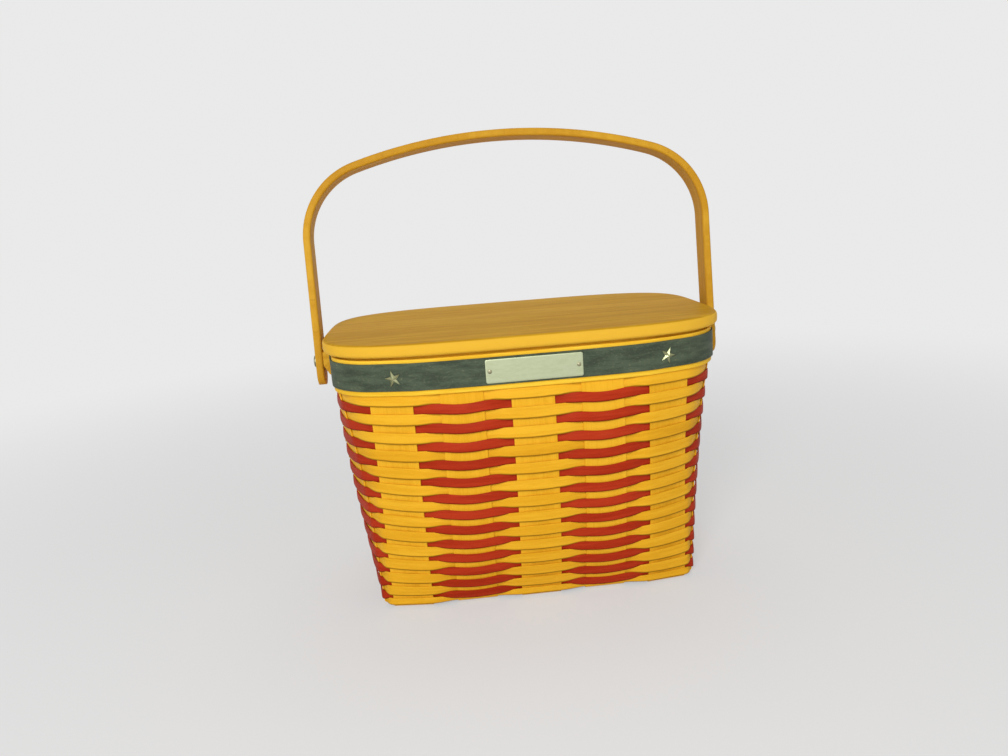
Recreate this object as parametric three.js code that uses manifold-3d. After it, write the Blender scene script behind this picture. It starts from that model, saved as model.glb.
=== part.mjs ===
// Woven splint basket with a lift-off board lid and a swinging bentwood handle.
// Millimetres, +Z up, +X along the length, front towards -Y.
// The origin is under the middle of the base, on the face that the basket stands on.

import * as THREE from "three";
import { mergeVertices } from "three/addons/utils/BufferGeometryUtils.js";
import Module from "manifold-3d";

const wasm = await Module();
wasm.setup();

// Air left between pieces that touch on the real basket
const fitGap = 0.3;

// Overall sizes: the rim is measured over the painted strip, the base over the weave
const rimLength = 356;
const rimWidth = 235;
const rimHeight = 240;
const baseLength = 306;
const baseWidth = 162;
const rimSquareness = 3.9;
const baseSquareness = 9;

// Shape of the walls between base and rim: how early they spread, and how far they are fuller and
// rounder half way up
const endCurve = 1.4;
const sideCurve = 2.4;
const endFullness = 2.6;
const sideFullness = 4;
const middleRounding = 0.145;

// Flat splints that cross under the base and rise to the rim
const splintWidth = 37;
const splintThickness = 1.2;
const crossSplintCount = 5;
const longSplintCount = 3;
const baseCornerMargin = 12.6;
const splintTopDrop = 0.5;
const bendRun = 3;
const bendRise = 2.65;

// Thin splints woven round the wall, one closed row above the other
const weaverRows = 27;
const weaverThickness = 1;
const rowGap = 0.4;
const rowCrowding = 0.15;

// Rim: two bands with the splint tops between them, and a painted strip outside
const outerBandHeight = 31;
const outerBandThickness = 2.5;
const innerBandHeight = 31;
const innerBandThickness = 3;
const innerBandRise = 2.4;
const stripHeight = 23.6;
const stripThickness = 1.2;
const stripDrop = 2.8;

// Small metal pieces on the front and back of the rim
const tagLength = 82;
const tagHeight = 20.3;
const tagThickness = 0.8;
const tagCorner = 1.5;
const tagNailInset = 3.5;
const tagShift = 2.3;
const nailHeadDiameter = 3.6;
const nailHeadHeight = 0.9;
const nailDiameter = 1.3;
const starAcross = 13.7;
const starWaist = 0.4;
const starEdge = 0.5;
const starHeight = 2.4;
const starTurns = { left: 0.24, right: -0.38 };
const starShifts = { left: 6, right: -3.7 };
const starDrop = 0.9;
const tackHeadDiameter = 7;
const tackHeadHeight = 1.4;
const tackDiameter = 1.6;

// Lid: one board with rounded edges, and two cleats that keep it inside the rim
const lidOverhang = 3;
const lidThickness = 11;
const lidEdgeRadius = 3.6;
const cleatWidth = 22;
const cleatThickness = 9;
const cleatSpacing = 210;
const cleatPlay = 2.5;
const cleatCorner = 1.2;

// Handle: a bent strip on rivets through the ends of the rim
const handleWidth = 25;
const handleThickness = 7;
const handleFootDrop = 10.3;
const handleLegHeight = 112;
const handleRise = 88;
const handleShoulderRadius = 70;
const handleLean = THREE.MathUtils.degToRad(6.7);
const earWidth = 26;
const earThickness = 8.2;
const earRise = 10.5;
const earDrop = 12;
const earToeHeight = 9;
const earToeThickness = 3;
const rivetDiameter = 4.5;
const rivetHeadDiameter = 11;
const rivetHeadHeight = 1.6;
const rivetTailDiameter = 7;
const rivetTailHeight = 1.4;
const washerDiameter = 13.5;
const washerThickness = 0.8;
const burrDiameter = 11;

// Domed heads: shares of the head's height and radius where its outline turns
const domeEdgeHeight = 0.4;
const domeShoulderHeight = 0.85;
const domeShoulderRadius = 0.7;

// Counts of flat faces on curved pieces
const cornerStations = 2;
const bendSteps = 3;
const lidSides = 48;
const lidEdgeSteps = 2;
const tagCornerSteps = 3;
const starPoints = 5;
const pinSides = 12;
const handleFootSteps = 4;
const handleShoulderSteps = 7;
const handleCrownSteps = 6;

const natural = { color: 0xe2a63a, roughness: 0.45, metalness: 0 };
const redStain = { color: 0xa8321f, roughness: 0.5, metalness: 0 };
const rimPaint = { color: 0x4b5a4b, roughness: 0.6, metalness: 0 };
const lidWood = { color: 0xb9832f, roughness: 0.4, metalness: 0 };
const tagMetal = { color: 0xd7dcc3, roughness: 0.4, metalness: 0.7 };
const brass = { color: 0xc8c48e, roughness: 0.35, metalness: 1 };
const steel = { color: 0x9a9a94, roughness: 0.45, metalness: 1 };

// Distances outwards from the middle surface of the wall
const splintFace = splintThickness / 2;
const weaverWave = splintFace + fitGap + weaverThickness / 2;
const bandInside = splintFace + fitGap;
const bandOutside = bandInside + outerBandThickness;
const stripInside = bandOutside + fitGap;
const stripOutside = stripInside + stripThickness;
const innerBandOutside = -splintFace - fitGap;
const innerBandInside = innerBandOutside - innerBandThickness;
const tagInside = stripOutside + fitGap;
const tagOutside = tagInside + tagThickness;
const earInside = stripOutside + fitGap;
const legInside = earInside + earThickness + fitGap;
const legOutside = legInside + handleThickness;
const washerInside = legOutside + fitGap;
const rivetHeadInside = washerInside + washerThickness + fitGap;
const burrInside = innerBandInside - fitGap - washerThickness;
const rivetTailOutside = burrInside - fitGap;
const rimThickness = stripOutside - innerBandInside;

// Half sizes of the middle surface at the rim and at the base
const rimHalf = { a: rimLength / 2 - stripOutside, b: rimWidth / 2 - stripOutside };
const wovenFace = weaverWave + weaverThickness / 2;
const baseHalf = { a: baseLength / 2 - wovenFace, b: baseWidth / 2 - wovenFace };

// Heights
const baseWave = (splintThickness + fitGap) / 2;
const baseLevel = baseWave + splintFace;
const wallFoot = baseLevel + bendRise;
const bandFoot = rimHeight - outerBandHeight;
const stripTop = rimHeight - stripDrop;
const stripFoot = stripTop - stripHeight;
const stripMiddle = (stripTop + stripFoot) / 2;
const innerBandTop = rimHeight + innerBandRise;
const rowsFoot = wallFoot + fitGap;

// Places of the splints across the base
const crossPitch = (2 * (baseHalf.a - baseCornerMargin) - splintWidth) / (crossSplintCount - 1);
const longPitch = (2 * (baseHalf.b - baseCornerMargin) - splintWidth) / (longSplintCount - 1);

function placesOf(count) {
  return Array.from({ length: count }, (unused, i) => i - (count - 1) / 2);
}
const crossPlaces = placesOf(crossSplintCount);
const longPlaces = placesOf(longSplintCount);
const lastCross = crossPlaces.at(-1) * crossPitch + splintWidth / 2;
const lastLong = longPlaces.at(-1) * longPitch + splintWidth / 2;

function mix(from, to, share) {
  return from + (to - from) * share;
}

// The wall's outline at a height: a superellipse that grows from the base to the rim
function wallPlan(z) {
  const climb = THREE.MathUtils.clamp((z - wallFoot) / (bandFoot - wallFoot), 0, 1);
  const middle = 4 * climb * (1 - climb);
  const endSpread = 1 - (1 - climb) ** endCurve;
  const sideSpread = 1 - (1 - climb) ** sideCurve;
  const roundness = mix(1 / baseSquareness, 1 / rimSquareness, endSpread);
  return {
    a: mix(baseHalf.a, rimHalf.a, endSpread) + endFullness * middle,
    b: mix(baseHalf.b, rimHalf.b, sideSpread) + sideFullness * middle,
    n: 1 / (roundness + middleRounding * middle),
  };
}

// Height of the line between two rows, counted down from the band. The rows are closer together
// towards the base.
function rowLine(rowsAbove) {
  const share = rowsAbove / weaverRows;
  const crowded = share + rowCrowding * share * (1 - share);
  return mix(bandFoot, rowsFoot, crowded);
}

// The superellipse's parameter where it passes a given x, or a given y
function turnAtX(x, plan) {
  return Math.acos((Math.abs(x) / plan.a) ** (plan.n / 2));
}
function turnAtY(y, plan) {
  return Math.asin((Math.abs(y) / plan.b) ** (plan.n / 2));
}

// Stations are the places round the wall where its outline bends: each edge of each splint, and
// a few in each corner. The wave is 1 where a natural row passes outside, and -1 where inside.
function longSideStation(x, side, wave) {
  return { sx: Math.sign(x), sy: side, wave, turn: (plan) => turnAtX(x, plan) };
}
function endStation(y, side, wave) {
  const turn = (plan) => turnAtY(y, plan);
  return { sx: side, sy: Math.sign(y), wave, turn, splintRunsAlongX: true };
}
function cornerStation(sx, sy, share, wave) {
  return { sx, sy, wave, turn: (plan) => mix(turnAtX(lastCross, plan), turnAtY(lastLong, plan), share) };
}

function waveOf(place) {
  return Math.abs(place) % 2 === 0 ? 1 : -1;
}

function sideStations(places, pitch, makeStation, side, heading) {
  return places.flatMap((place) => [-1, 1].map((edge) => {
    const along = heading * (place * pitch + edge * splintWidth / 2);
    return makeStation(along, side, waveOf(place));
  }));
}

function cornerStationsOf(sx, sy, towardsEnd) {
  return Array.from({ length: cornerStations }, (unused, i) => {
    const share = (i + 1) / (cornerStations + 1);
    const alongEnd = towardsEnd ? share : 1 - share;
    const wave = mix(waveOf(crossPlaces.at(-1)), waveOf(longPlaces.at(-1)), alongEnd);
    return cornerStation(sx, sy, alongEnd, wave);
  });
}

const stations = [
  ...sideStations(crossPlaces, crossPitch, longSideStation, -1, 1),
  ...cornerStationsOf(1, -1, true),
  ...sideStations(longPlaces, longPitch, endStation, 1, 1),
  ...cornerStationsOf(1, 1, false),
  ...sideStations(crossPlaces, crossPitch, longSideStation, 1, -1),
  ...cornerStationsOf(-1, 1, true),
  ...sideStations(longPlaces, longPitch, endStation, -1, -1),
  ...cornerStationsOf(-1, -1, false),
];

// Point of the wall at a station and a height, moved outwards square to the outline
function wallPoint(station, z, offset) {
  const plan = wallPlan(z);
  const turn = station.turn(plan);
  const x = plan.a * Math.cos(turn) ** (2 / plan.n);
  const y = plan.b * Math.sin(turn) ** (2 / plan.n);
  const normalX = (x / plan.a) ** (plan.n - 1) / plan.a;
  const normalY = (y / plan.b) ** (plan.n - 1) / plan.b;
  const reach = offset / Math.hypot(normalX, normalY);
  return new THREE.Vector3(station.sx * (x + reach * normalX), station.sy * (y + reach * normalY), z);
}

// Joins outlines of equal count side by side. The row closes on itself, or each end closes on a
// centre point.
function skin(outlines, centres) {
  const count = outlines[0].length;
  const points = outlines.flat();
  const faces = [];
  const rows = centres ? outlines.length - 1 : outlines.length;
  for (let row = 0; row < rows; row += 1) {
    for (let i = 0; i < count; i += 1) {
      const next = (i + 1) % count;
      const here = row * count;
      const there = ((row + 1) % outlines.length) * count;
      faces.push(here + i, here + next, there + i, here + next, there + next, there + i);
    }
  }
  if (centres) {
    const last = (outlines.length - 1) * count;
    points.push(...centres);
    for (let i = 0; i < count; i += 1) {
      const next = (i + 1) % count;
      faces.push(points.length - 2, next, i);
      faces.push(points.length - 1, last + i, last + next);
    }
  }
  const geometry = new THREE.BufferGeometry().setFromPoints(points);
  geometry.setIndex(faces);
  return geometry;
}

// Flat bar swept along sections, closed at both ends
function bar(sections) {
  const middle = (section) => section[0].clone().add(section[2]).multiplyScalar(0.5);
  return skin(sections, [middle(sections[0]), middle(sections.at(-1))]);
}

// Band that runs round the wall between two heights and two offsets
function wallBand(low, high, inside, outside) {
  return skin(stations.map((station) => [
    wallPoint(station, low, outside(station)),
    wallPoint(station, low, inside(station)),
    wallPoint(station, high, inside(station)),
    wallPoint(station, high, outside(station)),
  ]));
}

function solidOf(geometry) {
  const bare = new THREE.BufferGeometry();
  bare.setAttribute("position", geometry.getAttribute("position"));
  bare.setIndex(geometry.getIndex());
  const merged = mergeVertices(bare, 1e-4);
  return new wasm.Manifold(new wasm.Mesh({
    numProp: 3,
    vertProperties: new Float32Array(merged.getAttribute("position").array),
    triVerts: new Uint32Array(merged.getIndex().array),
  }));
}

function geometryOf(solid) {
  const mesh = solid.getMesh();
  const geometry = new THREE.BufferGeometry();
  geometry.setAttribute("position", new THREE.BufferAttribute(mesh.vertProperties, 3));
  geometry.setIndex(new THREE.BufferAttribute(mesh.triVerts, 1));
  return geometry;
}

function drill(geometry, bores) {
  return geometryOf(bores.reduce((solid, bore) => solid.subtract(solidOf(bore)), solidOf(geometry)));
}

const basket = new THREE.Group();
const ends = [["left", -1], ["right", 1]];

function addPiece(parent, name, geometry, finish) {
  const mesh = new THREE.Mesh(geometry, new THREE.MeshStandardMaterial(finish));
  mesh.name = name;
  parent.add(mesh);
  return mesh;
}

// Frame on the flat stretch of rim over one splint: its middle, facing outwards along local Z
function rimFacet(first, second, offset) {
  const start = wallPoint(first, stripMiddle, offset);
  const end = wallPoint(second, stripMiddle, offset);
  const across = end.clone().sub(start).normalize();
  const up = new THREE.Vector3(0, 0, 1);
  const outwards = across.clone().cross(up);
  const frame = new THREE.Matrix4().makeBasis(across, up, outwards);
  return frame.setPosition(start.add(end).multiplyScalar(0.5));
}

function facetOver(place, pitch, makeStation, side, heading, offset) {
  const [first, second] = sideStations([place], pitch, makeStation, side, heading);
  return rimFacet(first, second, offset);
}
const frontFacet = (place, offset) => facetOver(place, crossPitch, longSideStation, -1, 1, offset);
const backFacet = (place, offset) => facetOver(place, crossPitch, longSideStation, 1, -1, offset);
const endFacet = (side, offset) => facetOver(0, longPitch, endStation, side, side, offset);

// Round hole along local Z with room for a pin. It runs well past the rim on both sides.
function boreFor(pinDiameter) {
  const radius = pinDiameter / 2 + fitGap;
  const bore = new THREE.CylinderGeometry(radius, radius, 4 * rimThickness, pinSides);
  return bore.rotateX(Math.PI / 2);
}

function shifted(facet, x, y) {
  return facet.multiply(new THREE.Matrix4().makeTranslation(x, y, 0));
}

const lastPlace = crossPlaces.at(-1);
const tagFacet = (offset) => shifted(frontFacet(0, offset), tagShift, 0);
const tagNailX = tagLength / 2 - tagNailInset;
const tagNailBores = ends.map(([, side]) => {
  return boreFor(nailDiameter).translate(side * tagNailX, 0, 0).applyMatrix4(tagFacet(0));
});
const starFacets = ends.map(([name, side]) => {
  return shifted(frontFacet(side * lastPlace, tagInside), starShifts[name], -starDrop);
});
const backTackFacets = ends.map(([, side]) => backFacet(-side * lastPlace, tagInside));
const tackBores = [...starFacets, ...backTackFacets].map((facet) => {
  return boreFor(tackDiameter).applyMatrix4(facet);
});
const rivetBores = ends.map(([, side]) => boreFor(rivetDiameter).applyMatrix4(endFacet(side, 0)));
const rimBores = [...tackBores, ...rivetBores];

// Weavers: odd rows are natural, even rows red and half a wave behind
for (let row = 1; row <= weaverRows; row += 1) {
  const isNatural = row % 2 === 1;
  const high = rowLine(row - 1) - rowGap / 2;
  const low = rowLine(row) + rowGap / 2;
  const wave = isNatural ? weaverWave : -weaverWave;
  const geometry = wallBand(
    low,
    high,
    (station) => station.wave * wave - weaverThickness / 2,
    (station) => station.wave * wave + weaverThickness / 2,
  );
  const name = `weaver_${String(row).padStart(2, "0")}_${isNatural ? "natural" : "red"}`;
  addPiece(basket, name, geometry, isNatural ? natural : redStain);
}

// One side of a splint from its top down the wall and round the bend. Each section has the two
// edges of the splint, outer face and inner face.
function splintLeg(edgeStations, level) {
  const heights = [rimHeight - splintTopDrop];
  for (let row = 0; row < weaverRows; row += 1) {
    heights.push(rowLine(row));
  }
  heights.push(wallFoot);
  const [first, second] = edgeStations;
  const sections = heights.map((z) => [
    wallPoint(first, z, splintFace),
    wallPoint(second, z, splintFace),
    wallPoint(second, z, -splintFace),
    wallPoint(first, z, -splintFace),
  ]);
  for (let i = 1; i <= bendSteps; i += 1) {
    sections.push(bendSection(edgeStations, level, (Math.PI / 2) * (i / bendSteps)));
  }
  return sections;
}

// Section in the bend: a quarter of an ellipse from the foot of the wall to the base
function bendSection([first, second], level, angle) {
  const rise = wallFoot - level;
  const lean = Math.atan2(Math.sin(angle) / rise, Math.cos(angle) / bendRun);
  const inset = bendRun * (1 - Math.cos(angle));
  const z = wallFoot - rise * Math.sin(angle);
  const place = (station, face) => {
    const point = bendPoint(station, inset - face * Math.cos(lean));
    point.z = z - face * Math.sin(lean);
    return point;
  };
  return [
    place(first, splintFace),
    place(second, splintFace),
    place(second, -splintFace),
    place(first, -splintFace),
  ];
}

// Foot of the wall moved straight in, along the line that the splint takes under the base
function bendPoint(station, inset) {
  const point = wallPoint(station, wallFoot, 0);
  if (station.splintRunsAlongX) {
    point.x -= station.sx * inset;
  } else {
    point.y -= station.sy * inset;
  }
  return point;
}

// Sections across the base: flat over or under each crossing splint
function baseSections(edges, crossings, pitch, levels, makePoint) {
  return crossings.flatMap((place, i) => [-1, 1].map((side) => {
    const along = place * pitch + side * splintWidth / 2;
    return [
      makePoint(along, edges[0], levels[i] - splintFace),
      makePoint(along, edges[1], levels[i] - splintFace),
      makePoint(along, edges[1], levels[i] + splintFace),
      makePoint(along, edges[0], levels[i] + splintFace),
    ];
  }));
}

function levelsUnder(place, crossings, over) {
  return crossings.map((crossing) => baseLevel + over * waveOf(place) * waveOf(crossing) * baseWave);
}

// Splint that runs down the front, across the base and up the back
function crossSplint(place) {
  const edges = [1, -1].map((edge) => place * crossPitch + edge * splintWidth / 2);
  const levels = levelsUnder(place, longPlaces, 1);
  const front = edges.map((x) => longSideStation(x, -1, 0));
  const back = edges.map((x) => longSideStation(x, 1, 0));
  const makePoint = (along, across, z) => new THREE.Vector3(across, along, z);
  return bar([
    ...splintLeg(front, levels[0]),
    ...baseSections(edges, longPlaces, longPitch, levels, makePoint),
    ...splintLeg(back, levels.at(-1)).reverse(),
  ]);
}

// Splint that runs down the left end, along the base and up the right end
function longSplint(place) {
  const edges = [-1, 1].map((edge) => place * longPitch + edge * splintWidth / 2);
  const levels = levelsUnder(place, crossPlaces, -1);
  const left = edges.map((y) => endStation(y, -1, 0));
  const right = edges.map((y) => endStation(y, 1, 0));
  const makePoint = (along, across, z) => new THREE.Vector3(along, across, z);
  return bar([
    ...splintLeg(left, levels[0]),
    ...baseSections(edges, crossPlaces, crossPitch, levels, makePoint),
    ...splintLeg(right, levels.at(-1)).reverse(),
  ]);
}

crossPlaces.forEach((place, i) => {
  const isLast = Math.abs(place) === lastPlace;
  const geometry = isLast ? drill(crossSplint(place), tackBores) : crossSplint(place);
  addPiece(basket, `cross_splint_${i + 1}`, geometry, natural);
});
longPlaces.forEach((place, i) => {
  const geometry = place === 0 ? drill(longSplint(place), rivetBores) : longSplint(place);
  addPiece(basket, `long_splint_${i + 1}`, geometry, natural);
});

// Rim: each band keeps one distance from the wall's middle surface
function evenBand(low, high, inside, outside) {
  return wallBand(low, high, () => inside, () => outside);
}
const innerBandFoot = innerBandTop - innerBandHeight;
const outerBand = evenBand(bandFoot, rimHeight, bandInside, bandOutside);
const strip = evenBand(stripFoot, stripTop, stripInside, stripOutside);
const innerBand = evenBand(innerBandFoot, innerBandTop, innerBandInside, innerBandOutside);
addPiece(basket, "outer_rim_band", drill(outerBand, [...rimBores, ...tagNailBores]), natural);
addPiece(basket, "painted_rim_strip", drill(strip, [...rimBores, ...tagNailBores]), rimPaint);
addPiece(basket, "inner_rim_band", drill(innerBand, rimBores), natural);

// Places a piece modelled along +Z on a facet
function placeOn(mesh, facet, x = 0) {
  mesh.matrix.copy(facet).multiply(new THREE.Matrix4().makeTranslation(x, 0, 0));
  mesh.matrix.decompose(mesh.position, mesh.quaternion, mesh.scale);
  return mesh;
}

// Turns an outline of [radius, height] points round local Z
function turned(outline) {
  const profile = outline.map(([radius, height]) => new THREE.Vector2(radius, height));
  return new THREE.LatheGeometry(profile, pinSides).rotateX(Math.PI / 2);
}

// Outline of a low domed head, from its underside's edge to its middle
function domedHead(diameter, underside, height) {
  const radius = diameter / 2;
  return [
    [radius, underside],
    [radius, underside + height * domeEdgeHeight],
    [radius * domeShoulderRadius, underside + height * domeShoulderHeight],
    [0, underside + height],
  ];
}

function headedPin(headDiameter, headHeight, diameter, length) {
  return turned([
    [0, -length],
    [diameter / 2, -length],
    [diameter / 2, 0],
    ...domedHead(headDiameter, 0, headHeight),
  ]);
}

// Blank tag plate and its two nails
function tagPlate() {
  const x = tagLength / 2;
  const y = tagHeight / 2;
  const shape = new THREE.Shape();
  shape.moveTo(-x + tagCorner, -y);
  shape.lineTo(x - tagCorner, -y);
  shape.absarc(x - tagCorner, -y + tagCorner, tagCorner, -Math.PI / 2, 0);
  shape.absarc(x - tagCorner, y - tagCorner, tagCorner, 0, Math.PI / 2);
  shape.absarc(-x + tagCorner, y - tagCorner, tagCorner, Math.PI / 2, Math.PI);
  shape.absarc(-x + tagCorner, -y + tagCorner, tagCorner, Math.PI, Math.PI * 1.5);
  const plate = new THREE.ExtrudeGeometry(shape, {
    depth: tagThickness,
    bevelEnabled: false,
    curveSegments: tagCornerSteps,
  });
  return drill(plate, ends.map(([, end]) => boreFor(nailDiameter).translate(end * tagNailX, 0, 0)));
}
placeOn(addPiece(basket, "tag_plate", tagPlate(), tagMetal), tagFacet(tagInside));
const nailUnderside = tagOutside + fitGap;
for (const [side, end] of ends) {
  const nail = headedPin(nailHeadDiameter, nailHeadHeight, nailDiameter, nailUnderside - bandInside);
  const mesh = addPiece(basket, `tag_nail_${side}`, nail, steel);
  placeOn(mesh, tagFacet(nailUnderside), end * tagNailX);
}

// Raised five-pointed star on a pin that is clinched behind the inner band
const tackLength = tagInside - innerBandInside;
function starTack(turn) {
  const reach = starAcross / (2 * Math.sin((2 * Math.PI) / starPoints));
  const outlineAt = (z) => Array.from({ length: 2 * starPoints }, (unused, i) => {
    const radius = i % 2 === 0 ? reach : reach * starWaist;
    const angle = turn + Math.PI / 2 + (i * Math.PI) / starPoints;
    return new THREE.Vector3(radius * Math.cos(angle), radius * Math.sin(angle), z);
  });
  const head = skin(
    [outlineAt(0), outlineAt(starEdge)],
    [new THREE.Vector3(0, 0, 0), new THREE.Vector3(0, 0, starHeight)],
  );
  const pinTop = starEdge / 2;
  const pin = turned([
    [0, -tackLength],
    [tackDiameter / 2, -tackLength],
    [tackDiameter / 2, pinTop],
    [0, pinTop],
  ]);
  return geometryOf(solidOf(head).add(solidOf(pin)));
}
ends.forEach(([side], i) => {
  const star = starTack(starTurns[side]);
  placeOn(addPiece(basket, `star_tack_${side}`, star, brass), starFacets[i]);
  const tack = headedPin(tackHeadDiameter, tackHeadHeight, tackDiameter, tackLength);
  placeOn(addPiece(basket, `rim_tack_back_${side}`, tack, steel), backTackFacets[i]);
});

// Ear: a wooden block on the end of the rim that holds the handle clear of the lid. Local X runs
// along the rim, local Y up and local Z outwards.
function handleEar() {
  const side = new THREE.Shape([
    new THREE.Vector2(0, -earDrop),
    new THREE.Vector2(earToeThickness, -earDrop),
    new THREE.Vector2(earThickness, -earDrop + earToeHeight),
    new THREE.Vector2(earThickness, earRise),
    new THREE.Vector2(0, earRise),
  ]);
  const block = new THREE.ExtrudeGeometry(side, { depth: earWidth, bevelEnabled: false });
  block.rotateY(-Math.PI / 2);
  block.translate(earWidth / 2, 0, 0);
  return drill(block, [boreFor(rivetDiameter)]);
}

// Rivet: its domed head is outside the handle, and its tail is spread over a burr inside the rim.
// Local Z is the distance from the wall's middle surface.
function rivet() {
  return turned([
    [0, rivetTailOutside - rivetTailHeight],
    [(rivetTailDiameter / 2) * domeShoulderRadius, rivetTailOutside - rivetTailHeight],
    [rivetTailDiameter / 2, rivetTailOutside],
    [rivetDiameter / 2, rivetTailOutside],
    [rivetDiameter / 2, rivetHeadInside],
    ...domedHead(rivetHeadDiameter, rivetHeadInside, rivetHeadHeight),
  ]);
}

function washer(diameter) {
  const hole = rivetDiameter / 2 + fitGap;
  return turned([
    [hole, 0],
    [diameter / 2, 0],
    [diameter / 2, washerThickness],
    [hole, washerThickness],
    [hole, 0],
  ]);
}

for (const [side, end] of ends) {
  const ear = addPiece(basket, `handle_ear_${side}`, handleEar(), natural);
  const pin = addPiece(basket, `handle_rivet_${side}`, rivet(), steel);
  const outerWasher = addPiece(basket, `rivet_washer_${side}`, washer(washerDiameter), steel);
  const burr = addPiece(basket, `rivet_burr_${side}`, washer(burrDiameter), steel);
  placeOn(ear, endFacet(end, earInside));
  placeOn(pin, endFacet(end, 0));
  placeOn(outerWasher, endFacet(end, washerInside));
  placeOn(burr, endFacet(end, burrInside));
}

// Lid board: the rim's outline with an overhang and rounded edges
const lidFoot = innerBandTop + fitGap;
function lidOutline(inset, z) {
  const a = rimLength / 2 + lidOverhang - inset;
  const b = rimWidth / 2 + lidOverhang - inset;
  return Array.from({ length: lidSides }, (unused, i) => {
    const angle = ((i + 0.5) / lidSides) * 2 * Math.PI;
    const x = Math.sign(Math.cos(angle)) * a * Math.abs(Math.cos(angle)) ** (2 / rimSquareness);
    const y = Math.sign(Math.sin(angle)) * b * Math.abs(Math.sin(angle)) ** (2 / rimSquareness);
    return new THREE.Vector3(x, y, z);
  });
}
function lidBoard() {
  const lower = Array.from({ length: lidEdgeSteps + 1 }, (unused, i) => {
    const turn = (Math.PI / 2) * (i / lidEdgeSteps);
    return { inset: lidEdgeRadius * (1 - Math.sin(turn)), z: lidEdgeRadius * (1 - Math.cos(turn)) };
  });
  const upper = lower.map(({ inset, z }) => ({ inset, z: lidThickness - z })).reverse();
  const rings = [...lower, ...upper].map(({ inset, z }) => lidOutline(inset, z));
  return skin(rings, [new THREE.Vector3(0, 0, 0), new THREE.Vector3(0, 0, lidThickness)]);
}

// Cleat across the lid's underside, as long as the inner band leaves room for
function lidCleat() {
  const a = rimHalf.a + innerBandInside;
  const b = rimHalf.b + innerBandInside;
  const farSide = (cleatSpacing + cleatWidth) / 2;
  const room = b * (1 - (farSide / a) ** rimSquareness) ** (1 / rimSquareness);
  const x = cleatWidth / 2 - cleatCorner;
  const y = room - cleatPlay - cleatCorner;
  const shape = new THREE.Shape([
    new THREE.Vector2(-x, -y),
    new THREE.Vector2(x, -y),
    new THREE.Vector2(x, y),
    new THREE.Vector2(-x, y),
  ]);
  const cleat = new THREE.ExtrudeGeometry(shape, {
    depth: cleatThickness - 2 * cleatCorner,
    bevelSize: cleatCorner,
    bevelThickness: cleatCorner,
    bevelSegments: 1,
  });
  return cleat.translate(0, 0, cleatCorner - cleatThickness - fitGap);
}

const lid = new THREE.Group();
lid.position.z = lidFoot;
basket.add(lid);
addPiece(lid, "lid_board", lidBoard(), lidWood);
for (const [side, end] of ends) {
  const cleat = addPiece(lid, `lid_cleat_${side}`, lidCleat(), natural);
  cleat.position.x = (end * cleatSpacing) / 2;
}

// Handle: two legs under a three-centred arch, with rounded feet. Local origin on the rivets' axis.
const legMiddle = rimHalf.a + legInside + handleThickness / 2;
function handlePath() {
  const shoulderX = legMiddle - handleShoulderRadius;
  const extra = handleRise - handleShoulderRadius;
  const crownRadius = (shoulderX ** 2 + handleRise ** 2 - handleShoulderRadius ** 2) / (2 * extra);
  const crownCentre = handleLegHeight + handleRise - crownRadius;
  const meet = Math.atan2(handleLegHeight - crownCentre, shoulderX);
  const half = [];
  for (let i = handleFootSteps; i >= 0; i -= 1) {
    const turn = ((Math.PI / 2) * i) / (handleFootSteps + 0.5);
    const foot = (handleWidth / 2) * Math.sin(turn);
    const width = handleWidth * Math.cos(turn);
    half.push({ x: legMiddle, z: -handleFootDrop - foot, tilt: 0, width });
  }
  for (let i = 0; i <= handleShoulderSteps; i += 1) {
    const tilt = meet * (i / handleShoulderSteps);
    const x = shoulderX + handleShoulderRadius * Math.cos(tilt);
    const z = handleLegHeight + handleShoulderRadius * Math.sin(tilt);
    half.push({ x, z, tilt, width: handleWidth });
  }
  for (let i = 1; i <= handleCrownSteps; i += 1) {
    const tilt = mix(meet, Math.PI / 2, i / handleCrownSteps);
    const x = crownRadius * Math.cos(tilt);
    const z = crownCentre + crownRadius * Math.sin(tilt);
    half.push({ x, z, tilt, width: handleWidth });
  }
  const otherHalf = half.slice(0, -1).reverse().map((step) => {
    return { ...step, x: -step.x, tilt: Math.PI - step.tilt };
  });
  return [...half, ...otherHalf];
}

function bentHandle() {
  const sections = handlePath().map(({ x, z, tilt, width }) => {
    const corner = (across, out) => new THREE.Vector3(
      x + out * Math.cos(tilt) * handleThickness / 2,
      across * width / 2,
      z + out * Math.sin(tilt) * handleThickness / 2,
    );
    return [corner(1, 1), corner(1, -1), corner(-1, -1), corner(-1, 1)];
  });
  return drill(bar(sections), ends.map(([, end]) => {
    return boreFor(rivetDiameter).rotateY(Math.PI / 2).translate(end * legMiddle, 0, 0);
  }));
}

const handle = new THREE.Group();
handle.position.z = stripMiddle;
handle.rotation.x = -handleLean;
basket.add(handle);
addPiece(handle, "bentwood_handle", bentHandle(), natural);

export default basket;
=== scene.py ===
import math

import bpy
import numpy as np
from mathutils import Matrix, Vector


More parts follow.
